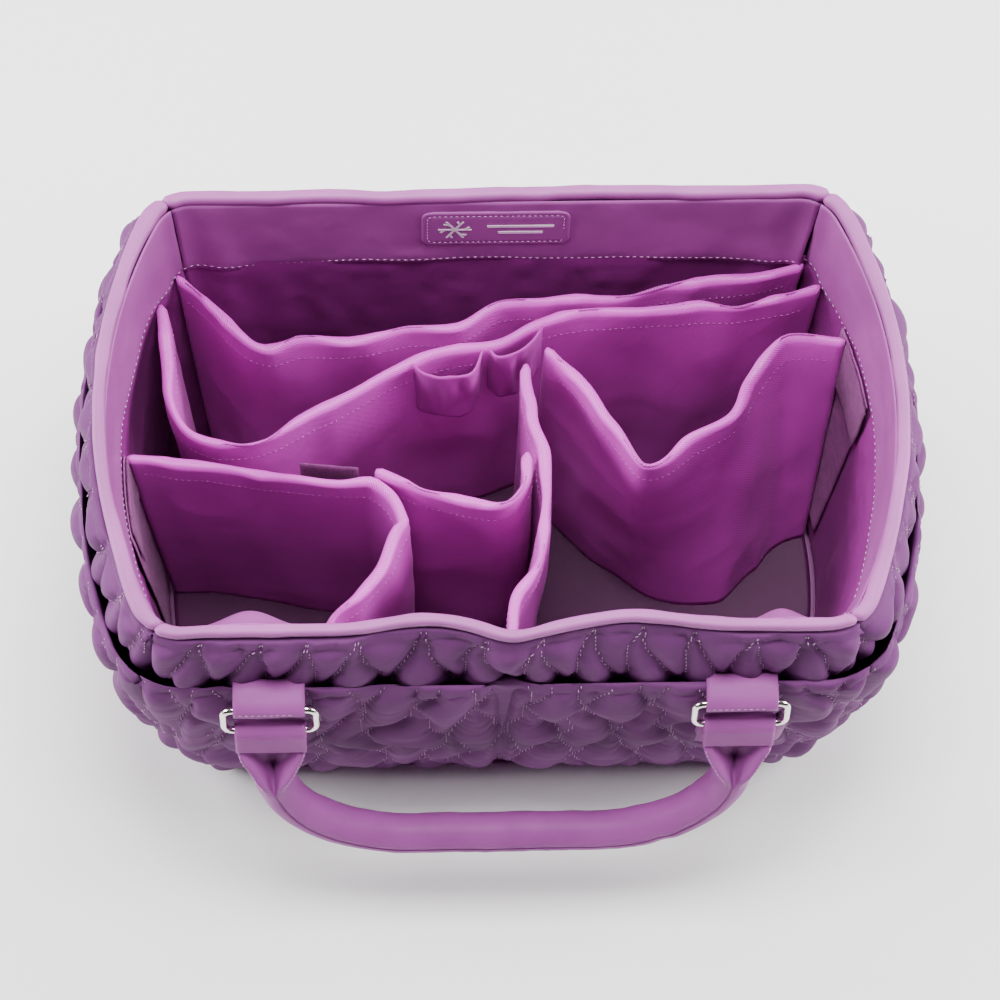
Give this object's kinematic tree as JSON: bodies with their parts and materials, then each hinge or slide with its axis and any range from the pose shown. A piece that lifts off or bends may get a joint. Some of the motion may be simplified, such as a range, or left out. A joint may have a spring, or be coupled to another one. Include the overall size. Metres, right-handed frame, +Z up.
{
  "type": "skate bag",
  "caption": "Open-topped quilted tote bag for ice skates, with a padded interior split by removable dividers, open outer pockets and rolled handles on metal rings.",
  "frame": {"origin": "on the ground in the middle of the base, under the middle of the open top", "axes": "+Z up through the open top, +X along the length, -Y towards the face that carries the small outer patch"},
  "size_m": [0.457, 0.3696, 0.262],
  "materials": {
    "quilted_leather": "soft matte coated leather, quilted and gathered, lilac purple",
    "base_leather": "matte coated leather, purple",
    "wadding": "soft polyester wadding, hidden",
    "board": "stiff plastic board, hidden",
    "lining": "satin twill, magenta purple",
    "facing_leather": "smooth matte coated leather, purple",
    "rim_leather": "rolled matte coated leather, purple",
    "strap_leather": "matte coated leather, purple",
    "ring_metal": "polished pale nickel",
    "handle_rope": "twisted cotton rope, hidden",
    "label_leather": "smooth matte coated leather, purple",
    "emblem_foil": "pressed silver foil",
    "divider_fabric": "padded satin twill, magenta purple",
    "elastic": "woven elastic, magenta purple",
    "hook_tape": "hook tape, dark purple",
    "loop_tape": "brushed loop tape, dark purple"
  },
  "bodies": {
    "bag": {"back_divider": "divider_fabric", "back_facing": "facing_leather", "back_left_tab": "strap_leather", "back_lining": "lining", "back_panel": "quilted_leather", "back_pocket": "quilted_leather", "back_right_tab": "strap_leather", "back_rim": "rim_leather", "back_wadding": "wadding", "base_board": "board", "base_panel": "base_leather", "elastic_loops": "elastic", "floor_lining": "lining", "front_facing": "facing_leather", "front_left_tab": "strap_leather", "front_lining": "lining", "front_panel": "quilted_leather", "front_patch": "label_leather", "front_pocket": "quilted_leather", "front_right_tab": "strap_leather", "front_rim": "rim_leather", "front_wadding": "wadding", "inner_label": "label_leather", "label_emblem": "emblem_foil", "left_facing": "facing_leather", "left_lining": "lining", "left_panel": "quilted_leather", "left_pocket": "quilted_leather", "left_rim": "rim_leather", "left_wadding": "wadding", "loop_strips": "loop_tape", "middle_divider": "divider_fabric", "patch_emblem": "emblem_foil", "right_facing": "facing_leather", "right_lining": "lining", "right_panel": "quilted_leather", "right_pocket": "quilted_leather", "right_rim": "rim_leather", "right_wadding": "wadding"},
    "front_rings": {"front_left_ring": "ring_metal", "front_right_ring": "ring_metal"},
    "front_handle": {"front_handle_cover": "strap_leather", "front_handle_core": "handle_rope", "front_left_handle_end": "strap_leather", "front_right_handle_end": "strap_leather"},
    "back_rings": {"back_left_ring": "ring_metal", "back_right_ring": "ring_metal"},
    "back_handle": {"back_handle_cover": "strap_leather", "back_handle_core": "handle_rope", "back_left_handle_end": "strap_leather", "back_right_handle_end": "strap_leather"},
    "centre_divider": {"centre_divider": "divider_fabric", "centre_hook": "hook_tape"},
    "box_divider": {"box_divider": "divider_fabric", "box_hook": "hook_tape"},
    "cross_divider": {"cross_divider": "divider_fabric", "cross_hook": "hook_tape"},
    "vee_divider": {"vee_divider": "divider_fabric", "vee_hook": "hook_tape"}
  },
  "joints": [
    {"name": "front_ring_swing", "type": "hinge", "parent": "bag", "child": "front_rings", "pos_m": [0, -0.1468, 0.207], "axis": [-1, 0, 0], "range_deg": [0, 90]},
    {"name": "front_handle_swing", "type": "hinge", "parent": "front_rings", "child": "front_handle", "pos_m": [0, -0.15075, 0.18841], "axis": [-1, 0, 0], "range_deg": [0, 75]},
    {"name": "back_ring_swing", "type": "hinge", "parent": "bag", "child": "back_rings", "pos_m": [0, 0.1468, 0.207], "axis": [1, 0, 0], "range_deg": [0, 90]},
    {"name": "back_handle_swing", "type": "hinge", "parent": "back_rings", "child": "back_handle", "pos_m": [0, 0.15075, 0.18841], "axis": [1, 0, 0], "range_deg": [0, 75]},
    {"name": "centre_divider_lift", "type": "slide", "parent": "bag", "child": "centre_divider", "axis": [0, 0, 1], "range_m": [0, 0.26]},
    {"name": "box_divider_lift", "type": "slide", "parent": "bag", "child": "box_divider", "axis": [0, 0, 1], "range_m": [0, 0.26]},
    {"name": "cross_divider_lift", "type": "slide", "parent": "bag", "child": "cross_divider", "axis": [0, 0, 1], "range_m": [0, 0.26]},
    {"name": "vee_divider_lift", "type": "slide", "parent": "bag", "child": "vee_divider", "axis": [0, 0, 1], "range_m": [0, 0.26]}
  ]
}
